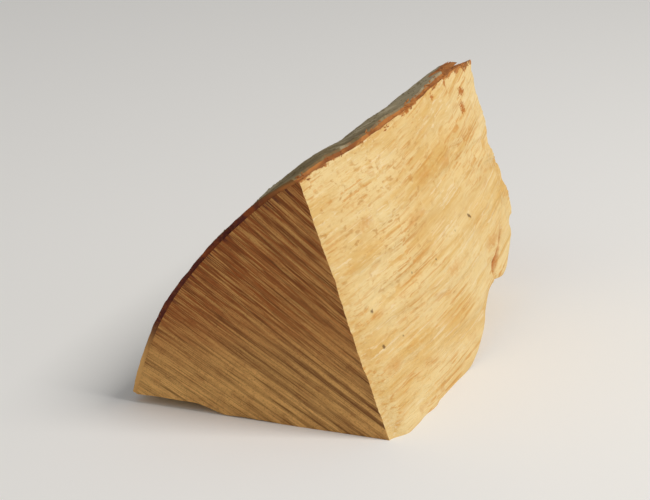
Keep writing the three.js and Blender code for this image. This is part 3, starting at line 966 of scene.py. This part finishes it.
def sawn_wood(colours, wedge):
    """End grain: fine saw lines slanting across it, faint rings, redder wood and dark ticks at the bark."""
    end = Recipe("sawn_wood", 0.82, colours.end_tan)
    depth, turn = end.round_pith(wedge)
    reach, slant = end.polar(FOOT - SAW_SPREAD * Vector((0, *SAW_LINE)))
    _, _, out = end.on_face(wedge)
    side = end.times(slant, SAW_SPREAD)
    layer = end.times(end.axis("X"), 40.0)  # so that the two ends differ
    height = end.axis("Z")
    rim = wedge.wood_radius

    def lines(across, along, **how):
        """Noise with so many patches to the metre across the saw lines and along them."""
        return end.noise(end.vector(end.times(side, across), end.times(reach, along), layer), **how)

    wide = lines(330, 12, detail=1)
    bands = lines(900, 22, detail=2, roughness=0.6)
    scores = lines(1250, 30, detail=2, roughness=0.6)
    hairs = lines(2600, 60, detail=1)
    pores = end.grit(1300, detail=2)
    ring = end.noise(end.vector(end.times(depth, 240), end.times(turn, 2.0)), detail=2)

    # The wood's own tones: redder towards the bark, with faint rings. Painted light and shade: lighter low
    # down, browner higher up.
    # Painted shade higher up and painted light low down: the end browns towards the top.
    end.paint(colours.end_brown_and_shade, height, -5 * MM, 80 * MM)
    end.paint(colours.end_tan, lines(60, 10, detail=0), 0.42, 0.68, 0.20)
    reddish = end.times(end.rise(depth, rim - 95 * MM, rim, 0.85), end.rise(height, 15 * MM, 60 * MM))
    reddish = end.math("MAXIMUM", reddish, end.rise(lines(95, 45, detail=0), 0.50, 0.68, 0.18))
    reddish = end.math("MAXIMUM", reddish, end.rise(lines(230, 130, detail=2), 0.50, 0.66, 0.36))
    end.paint(colours.end_red, reddish)
    end.paint(colours.line_dark, ring, 0.50, 0.70, 0.14)
    # Painted light: a pale patch low down, towards the bark.
    pale = end.rise(depth, rim - 90 * MM, rim - 20 * MM, 0.62)
    patchy = end.rise(lines(260, 90, detail=2), 0.62, 0.40)
    end.paint(colours.end_tan, end.times(pale, end.rise(height, 45 * MM, 10 * MM), patchy))

    # Saw lines, dark and light, the widest of them low down by the riven face.
    wide_share = end.times(end.rise(height, 55 * MM, 25 * MM, 0.6), end.rise(out, -120 * MM, -50 * MM))
    for value, dark, light, share in (
        (wide, (0.48, 0.37), (0.51, 0.62), wide_share),
        (bands, (0.50, 0.30), (0.54, 0.72), 0.50),
        (scores, (0.50, 0.32), (0.54, 0.68), 0.70),
    ):
        end.paint(colours.line_dark, value, *dark, share)
        end.paint(colours.line_light, value, *light, share)

    # The teeth leave a comb of marks that drifts a little and comes and goes. It is plainest low down and by
    # the riven face.
    drift = end.times(lines(36, 3, detail=2), 8.0)
    comb = end.math("SINE", end.math("ADD", end.times(side, math.tau / SAW_STEP), drift))
    going = end.math("ADD", end.rise(lines(75, 14, detail=1), 0.66, 0.40, 0.6), 0.4)
    low = end.math("ADD", end.rise(height, 60 * MM, 25 * MM), end.rise(height, 65 * MM, 90 * MM, 0.05))
    low = end.math("MAXIMUM", low, end.rise(out, -45 * MM, -8 * MM, 0.42))
    by_face = end.math("ADD", end.rise(out, -80 * MM, -15 * MM, 0.75), 0.5)
    plain = end.times(going, end.math("ADD", low, 0.3), by_face)
    end.paint(colours.line_dark, end.times(end.rise(comb, 0.2, -0.9, 0.48), plain))
    end.paint(colours.line_light, end.times(end.rise(comb, 0.3, 0.95, 0.48), plain))

    end.paint(colours.line_dark, hairs, 0.46, 0.30, 0.32)
    end.paint(colours.line_light, hairs, 0.53, 0.70, 0.60)
    end.paint(colours.line_dark, pores, 0.50, 0.75, 0.40)
    ticks = end.rise(lines(600, 8), 0.56, 0.64, 0.75)
    at_bark = end.rise(depth, rim - 7 * MM, rim - 2 * MM)
    end.paint(colours.bark_cut, end.times(ticks, at_bark, end.rise(height, 35 * MM, 60 * MM)))
    return end.finish((comb, 0.1 * MM), (bands, 0.2 * MM), (scores, 0.2 * MM), (pores, 0.1 * MM))


def inner_bark(colours, name="inner_bark"):
    """Orange-brown inner bark, torn into fibres along the grain and darker where it has dried."""
    bast = Recipe(name, 0.86, colours.bast)
    fibre = bast.noise(bast.stretched((26, 520, 520)), detail=3, roughness=0.65)
    patch = bast.noise(bast.stretched((55, 120, 120)), detail=3)
    bast.paint(colours.bast_dark, patch, 0.36, 0.66)
    bast.paint(colours.bast_dark, fibre, 0.52, 0.74, 0.6)
    bast.paint(colours.riven_orange, fibre, 0.44, 0.28, 0.5)
    return bast.finish((fibre, 0.5 * MM))


def bark_skin(colours, wedge):
    """Smooth beech bark: mottled grey-green, creased across the trunk, with pale lichen, rusty marks and a
    painted highlight.
    """
    skin = Recipe("bark_skin", 0.88, colours.bark_dark)
    _, turn = skin.round_pith(wedge)
    on_skin = skin.vector(skin.axis("X"), skin.times(turn, wedge.sizes.trunk_radius))

    def pattern(along, round_trunk, **how):
        """Noise with so many patches to the metre along the grain and round the trunk."""
        return skin.noise(skin.stretched((along, round_trunk, 0), on_skin), **how)

    mottle = pattern(32, 22, detail=4, roughness=0.55)
    cloud = pattern(110, 85, detail=3)
    crease = pattern(420, 48, detail=3, roughness=0.65)
    grain = pattern(1100, 900, detail=2)
    rust = pattern(46, 34, detail=4, roughness=0.65)

    skin.paint(colours.bark_grey, mottle, 0.30, 0.70)
    # Painted highlight: the bark grows paler towards the far end, laid on in the lichen's colour.
    skin.paint(colours.lichen, skin.axis("X"), -90 * MM, 120 * MM, 0.6)
    skin.paint(colours.lichen, cloud, 0.52, 0.76, 0.35)
    skin.paint(colours.bark_dark, cloud, 0.46, 0.26, 0.35)
    skin.paint(colours.bark_dark, crease, 0.54, 0.72, 0.50)
    skin.paint(colours.bast_dark, rust, 0.66, 0.76, 0.55)
    skin.paint(colours.lichen, skin.times(skin.attribute("crust"), 0.55))
    skin.paint(colours.bark_dark, grain, 0.52, 0.72, 0.35)
    skin.paint(colours.bast_dark, skin.times(skin.attribute("edge"), skin.rise(cloud, 0.44, 0.64, 0.45)))
    return skin.finish((crease, 0.4 * MM), (grain, 0.2 * MM))


def sawn_bark(colours, wedge):
    """Dark red-brown bark where the saw went through it, orange by the top, pale low down, grey outside."""
    cut = Recipe("sawn_bark", 0.9, colours.bark_cut)
    depth, turn = cut.round_pith(wedge)
    grit = cut.grit(500, detail=3)
    outside = wedge.sizes.trunk_radius
    cut.paint(colours.bast_dark, grit, 0.45, 0.72, 0.5)
    cut.paint(colours.end_red, cut.grit(90, detail=3), 0.45, 0.66, 0.8)
    cut.paint(colours.bast, turn, math.radians(50), wedge.sizes.top_angle, 0.85)
    cut.paint(colours.end_tan, turn, math.radians(26), math.radians(17), 0.75)
    cut.paint(colours.bark_dark, depth, outside - 1.4 * MM, outside, 0.7)
    return cut.finish((grit, 0.3 * MM))


def lenticel_cork(colours):
    """Corky brown breathing pores of the bark."""
    cork = Recipe("lenticel_cork", 0.92, colours.bark_dark)
    grit = cork.grit(700, detail=2)
    cork.paint(colours.bark_grey, grit, 0.35, 0.65)
    return cork.finish((grit, 0.15 * MM))


# Geometry node trees

# Inputs of every tree: where things grow, how many to the square metre, their sizes, a seed and a material
SCATTER_INPUTS = {
    "Where": "NodeSocketString",
    "Density": "NodeSocketFloat",
    "Smallest": "NodeSocketVector",
    "Largest": "NodeSocketVector",
    "Seed": "NodeSocketInt",
    "Material": "NodeSocketMaterial",
}
ALONG_GRAIN = (1, 0, 0)
SLIVER_STEPS, SLIVER_SIDES, SLIVER_POINT = 8, 5, 0.08  # the last is the girth left at a sliver's tips


def new_tree(name, more_inputs):
    """An empty tree with its named inputs, and what those give."""
    tree = bpy.data.node_groups.new(name, "GeometryNodeTree")
    tree.interface.new_socket("Geometry", in_out="INPUT", socket_type="NodeSocketGeometry")
    for label, kind in {**SCATTER_INPUTS, **more_inputs}.items():
        tree.interface.new_socket(label, in_out="INPUT", socket_type=kind)
    tree.interface.new_socket("Geometry", in_out="OUTPUT", socket_type="NodeSocketGeometry")
    return tree, add_node(tree, "NodeGroupInput").outputs


def end_tree(tree, given, scattered, shape, rotation, size):
    """Sets a shape on every point, makes it real and gives it its material."""
    sockets = {"Points": scattered, "Instance": shape, "Rotation": rotation, "Scale": size}
    instances = add_value(tree, "GeometryNodeInstanceOnPoints", sockets)
    real = add_value(tree, "GeometryNodeRealizeInstances", {"Geometry": instances})
    sockets = {"Geometry": real, "Material": given["Material"]}
    add_node(tree, "NodeGroupOutput", {"Geometry": add_value(tree, "GeometryNodeSetMaterial", sockets)})
    return tree


def maths(tree, operation, a, b=0.0):
    return add_value(tree, "ShaderNodeMath", {0: a, 1: b}, operation=operation)


def named_value(tree, name):
    """A value that the mesh holds at its points under a name."""
    return add_value(tree, "GeometryNodeInputNamedAttribute", {"Name": name}, data_type="FLOAT")


def between(tree, least, most, seed):
    """A random vector between two others, for each point."""
    sockets = {0: least, 1: most, "Seed": seed}
    return add_value(tree, "FunctionNodeRandomValue", sockets, data_type="FLOAT_VECTOR")


def scatter(tree, given, method, more_sockets):
    """Points over the faces of the mesh that the tree grows on."""
    sockets = {"Mesh": given["Geometry"], "Seed": given["Seed"], **more_sockets}
    kind = "GeometryNodeDistributePointsOnFaces"
    return add_node(tree, kind, sockets, distribute_method=method).outputs


def lying(tree, normal, direction):
    """The turn that lays a shape flat on a surface, with its length in a direction."""
    sockets = {"Primary Axis": normal, "Secondary Axis": direction}
    axes = {"primary_axis": "Z", "secondary_axis": "X"}
    return add_value(tree, "FunctionNodeAxesToRotation", sockets, **axes)


def sliver_shape(tree, curl):
    """A sliver one unit long, thick in the middle and curled up at one end."""
    line = add_value(tree, "GeometryNodeCurvePrimitiveLine", {"Start": (0, 0, 0), "End": ALONG_GRAIN})
    steps = add_value(tree, "GeometryNodeResampleCurve", {"Curve": line, "Count": SLIVER_STEPS})
    along = add_node(tree, "GeometryNodeSplineParameter").outputs["Factor"]
    lift = maths(tree, "MULTIPLY", maths(tree, "MULTIPLY", along, along), curl)
    offset = add_value(tree, "ShaderNodeCombineXYZ", {2: lift})
    bent = add_value(tree, "GeometryNodeSetPosition", {"Geometry": steps, "Offset": offset})
    girth = maths(tree, "SINE", maths(tree, "MULTIPLY", along, math.pi))
    girth = maths(tree, "MAXIMUM", girth, SLIVER_POINT)
    section = {"Resolution": SLIVER_SIDES, "Radius": 0.5}
    section = add_value(tree, "GeometryNodeCurvePrimitiveCircle", section)
    sockets = {"Curve": bent, "Profile Curve": section, "Scale": girth, "Fill Caps": True}
    return add_value(tree, "GeometryNodeCurveToMesh", sockets)


def sliver_tree():
    """Slivers lying along the grain on a torn surface."""
    turns = {"Least Turn": "NodeSocketVector", "Most Turn": "NodeSocketVector"}
    tree, given = new_tree("lying_slivers", {"Curl": "NodeSocketFloat", **turns})
    density = maths(tree, "MULTIPLY", given["Density"], named_value(tree, given["Where"]))
    scattered = scatter(tree, given, "RANDOM", {"Density": density})
    turn = between(tree, given["Least Turn"], given["Most Turn"], given["Seed"])
    turn = add_value(tree, "FunctionNodeEulerToRotation", {0: turn})
    sockets = {"Rotation": lying(tree, scattered["Normal"], ALONG_GRAIN), "Rotate By": turn}
    rotation = add_value(tree, "FunctionNodeRotateRotation", sockets, rotation_space="LOCAL")
    size = between(tree, given["Smallest"], given["Largest"], maths(tree, "ADD", given["Seed"], 1.0))
    return end_tree(tree, given, scattered["Points"], sliver_shape(tree, given["Curl"]), rotation, size)


def lenticel_tree():
    """Low corky beads that lie across the trunk, spread evenly over the bark."""
    tree, given = new_tree("lenticels", {"Spacing": "NodeSocketFloat"})
    share = named_value(tree, given["Where"])
    spread = {"Distance Min": given["Spacing"], "Density Max": given["Density"], "Density Factor": share}
    scattered = scatter(tree, given, "POISSON", spread)
    normal = scattered["Normal"]
    bead = add_value(tree, "GeometryNodeMeshIcoSphere", {"Radius": 0.5, "Subdivisions": 1})
    across = {0: normal, 1: ALONG_GRAIN}
    across = add_value(tree, "ShaderNodeVectorMath", across, operation="CROSS_PRODUCT")
    size = between(tree, given["Smallest"], given["Largest"], given["Seed"])
    return end_tree(tree, given, scattered["Points"], bead, lying(tree, normal, across), size)


def grow(name, host, tree, values):
    """A finished piece: what a tree grows over a host's mesh, as a plain mesh at the frame's origin."""
    piece = bpy.data.objects.new(name, host.data.copy())
    bpy.context.scene.collection.objects.link(piece)
    modifier = piece.modifiers.new(tree.name, "NODES")
    modifier.node_group = tree
    identifiers = {s.name: s.identifier for s in tree.interface.items_tree if s.in_out == "INPUT"}
    for label, value in values.items():
        modifier[identifiers[label]] = value
    depsgraph = bpy.context.evaluated_depsgraph_get()
    mesh = bpy.data.meshes.new_from_object(piece.evaluated_get(depsgraph), depsgraph=depsgraph)
    piece.modifiers.remove(modifier)
    piece.data = mesh
    mesh.name = name
    if not mesh.polygons:
        raise RuntimeError(f"nothing grew for {name}")
    while None in mesh.materials[:]:  # shapes made in a tree bring an empty slot
        mesh.materials.pop(index=mesh.materials[:].index(None))
    return piece


# Operators

# A soft square light: its turn and height in degrees, counted as the camera's, its distance, size and tint
Lamp = namedtuple("Lamp", "azimuth elevation distance size tint")
KEY_LIGHT = Lamp(6, 52, 2.2, 0.9, (1.0, 0.97, 0.92))
FILL_LIGHT = Lamp(-120, 35, 2.6, 2.4, (0.94, 0.97, 1.0))
FLOOR_HALF = 6.0


def wedge_of(context):
    """The log's form, as its settings stand."""
    return Wedge(context.scene.log_sizes, context.scene.log_surface)


class FIREWOOD_OT_split_wood(bpy.types.Operator):
    """Build the wood with its riven faces and sawn ends"""

    bl_idname = "firewood.split_wood"
    bl_label = "Split Wood"

    def execute(self, context):
        wedge, colours = wedge_of(context), context.scene.log_colours
        materials = (
            riven_wood(colours, wedge),
            sawn_wood(colours, wedge),
            inner_bark(colours, "cambium"),
        )
        finish_piece(wood_piece(wedge, materials), "wood", "wood")
        return {"FINISHED"}


class FIREWOOD_OT_bark_skin(bpy.types.Operator):
    """Build the bark with its torn edges and sawn rims"""

    bl_idname = "firewood.bark_skin"
    bl_label = "Bark"

    def execute(self, context):
        wedge, colours = wedge_of(context), context.scene.log_colours
        materials = (bark_skin(colours, wedge), inner_bark(colours), sawn_bark(colours, wedge))
        finish_piece(bark_piece(wedge, materials), "bark", "bark")
        return {"FINISHED"}


class FIREWOOD_OT_splinters(bpy.types.Operator):
    """Grow splinters on the torn wood"""

    bl_idname = "firewood.splinters"
    bl_label = "Splinters"

    def execute(self, context):
        surface = context.scene.log_surface
        values = {
            "Where": "tear",
            "Density": surface.splinter_density,
            "Curl": 1.6,
            "Smallest": (3 * MM, 0.3 * MM, 0.2 * MM),
            "Largest": (9 * MM, 0.9 * MM, 0.45 * MM),
            "Least Turn": (-0.3, -0.03, -0.07),
            "Most Turn": (0.3, 0.0, 0.07),
            "Seed": surface.seed,
            "Material": bpy.data.materials["riven_wood"],
        }
        finish_piece(grow("splinters", bpy.data.objects["split_wood"], sliver_tree(), values), "wood")
        return {"FINISHED"}


class FIREWOOD_OT_bast_shreds(bpy.types.Operator):
    """Grow shreds of inner bark along the bark's torn edge"""

    bl_idname = "firewood.bast_shreds"
    bl_label = "Inner Bark Shreds"

    def execute(self, context):
        surface = context.scene.log_surface
        values = {
            "Where": "torn",
            "Density": surface.shred_density,
            "Curl": 1.2,
            "Smallest": (2 * MM, 0.5 * MM, 0.3 * MM),
            "Largest": (5.5 * MM, 1.2 * MM, 0.55 * MM),
            "Least Turn": (-0.5, -0.08, -0.35),
            "Most Turn": (0.5, 0.03, 0.35),
            "Seed": surface.seed + SHRED_SEED,
            "Material": bpy.data.materials["inner_bark"],
        }
        tree = sliver_tree()
        finish_piece(grow("bast_shreds", bpy.data.objects["bark_skin"], tree, values), "bark")
        values["Where"] = "cling"
        finish_piece(grow("clinging_bast", bpy.data.objects["split_wood"], tree, values), "bark")
        return {"FINISHED"}


class FIREWOOD_OT_lenticels(bpy.types.Operator):
    """Grow lenticels on the bark"""

    bl_idname = "firewood.lenticels"
    bl_label = "Lenticels"

    def execute(self, context):
        surface = context.scene.log_surface
        values = {
            "Where": "bare",
            "Density": surface.lenticel_density,
            "Spacing": 3.5 * MM,
            "Smallest": (0.9 * MM, 0.5 * MM, 0.3 * MM),
            "Largest": (3.4 * MM, 0.9 * MM, 0.7 * MM),
            "Seed": surface.seed + LENTICEL_SEED,
            "Material": lenticel_cork(context.scene.log_colours),
        }
        finish_piece(grow("lenticels", bpy.data.objects["bark_skin"], lenticel_tree(), values), "bark")
        return {"FINISHED"}


class FIREWOOD_OT_stage(bpy.types.Operator):
    """Set the pale floor, the soft studio light and the camera"""

    bl_idname = "firewood.stage"
    bl_label = "Stage"

    def execute(self, context):
        stage, scene = context.scene.log_stage, context.scene
        scene.view_settings.view_transform = "Standard"
        self.lay_floor(scene, stage)
        self.hang_light(scene, "key_light", KEY_LIGHT, stage.key_power)
        self.hang_light(scene, "fill_light", FILL_LIGHT, stage.fill_power)
        world = bpy.data.worlds.new("even_sky")
        world.use_nodes = True
        background = world.node_tree.nodes["Background"]
        background.inputs["Color"].default_value = (1.0, 1.0, 1.0, 1.0)
        background.inputs["Strength"].default_value = stage.sky
        scene.world = world

        camera = bpy.data.objects.new("camera", bpy.data.cameras.new("camera"))
        camera.data.lens = stage.lens
        self.turn_to_log(scene, camera, stage.azimuth, stage.elevation, stage.distance)
        scene.camera = camera
        return {"FINISHED"}

    @staticmethod
    def turn_to_log(scene, thing, azimuth, elevation, distance):
        """Sets a camera or light at an azimuth, an elevation and a distance from the aim, turned to it."""
        flat = math.cos(elevation)
        toward = Vector((math.sin(azimuth) * flat, -math.cos(azimuth) * flat, math.sin(elevation)))
        thing.location = Vector(scene.log_stage.aim) + toward * distance
        thing.rotation_euler = (-toward).to_track_quat("-Z", "Y").to_euler()
        scene.collection.objects.link(thing)

    def lay_floor(self, scene, stage):
        half = FLOOR_HALF
        mesh = bpy.data.meshes.new("floor")
        corners = [(-half, -half, 0), (half, -half, 0), (half, half, 0), (-half, half, 0)]
        mesh.from_pydata(corners, [], [(0, 1, 2, 3)])
        mesh.materials.append(Recipe("floor_paper", 0.95, stage.floor).finish())
        floor = bpy.data.objects.new("floor", mesh)
        scene.collection.objects.link(floor)

    def hang_light(self, scene, name, lamp, power):
        light = bpy.data.lights.new(name, "AREA")
        light.size, light.energy, light.color = lamp.size, power, lamp.tint
        azimuth, elevation = math.radians(lamp.azimuth), math.radians(lamp.elevation)
        self.turn_to_log(scene, bpy.data.objects.new(name, light), azimuth, elevation, lamp.distance)


class FIREWOOD_PT_log(bpy.types.Panel):
    """The log's pieces and settings"""

    bl_label = "Firewood Log"
    bl_space_type = "VIEW_3D"
    bl_region_type = "UI"
    bl_category = "Firewood"

    def draw(self, context):
        for piece in PIECES:
            self.layout.operator(piece.bl_idname)
        for name, group in GROUPS.items():
            box = self.layout.box()
            box.label(text=group.__doc__)
            for setting in group.__annotations__:
                box.prop(getattr(context.scene, name), setting)


GROUPS = {"log_sizes": LogSizes, "log_surface": LogSurface, "log_colours": LogColours, "log_stage": LogStage}
PIECES = (
    FIREWOOD_OT_split_wood,
    FIREWOOD_OT_bark_skin,
    FIREWOOD_OT_splinters,
    FIREWOOD_OT_bast_shreds,
    FIREWOOD_OT_lenticels,
    FIREWOOD_OT_stage,
)
CLASSES = (*GROUPS.values(), *PIECES, FIREWOOD_PT_log)


def register():
    for cls in CLASSES:
        bpy.utils.register_class(cls)
    for name, group in GROUPS.items():
        setattr(bpy.types.Scene, name, PointerProperty(type=group))


def unregister():
    for name in GROUPS:
        delattr(bpy.types.Scene, name)
    for cls in reversed(CLASSES):
        bpy.utils.unregister_class(cls)


def main():
    register()
    bpy.ops.firewood.split_wood()
    bpy.ops.firewood.bark_skin()
    bpy.ops.firewood.splinters()
    bpy.ops.firewood.bast_shreds()
    bpy.ops.firewood.lenticels()
    bpy.ops.firewood.stage()


if __name__ == "__main__":
    main()
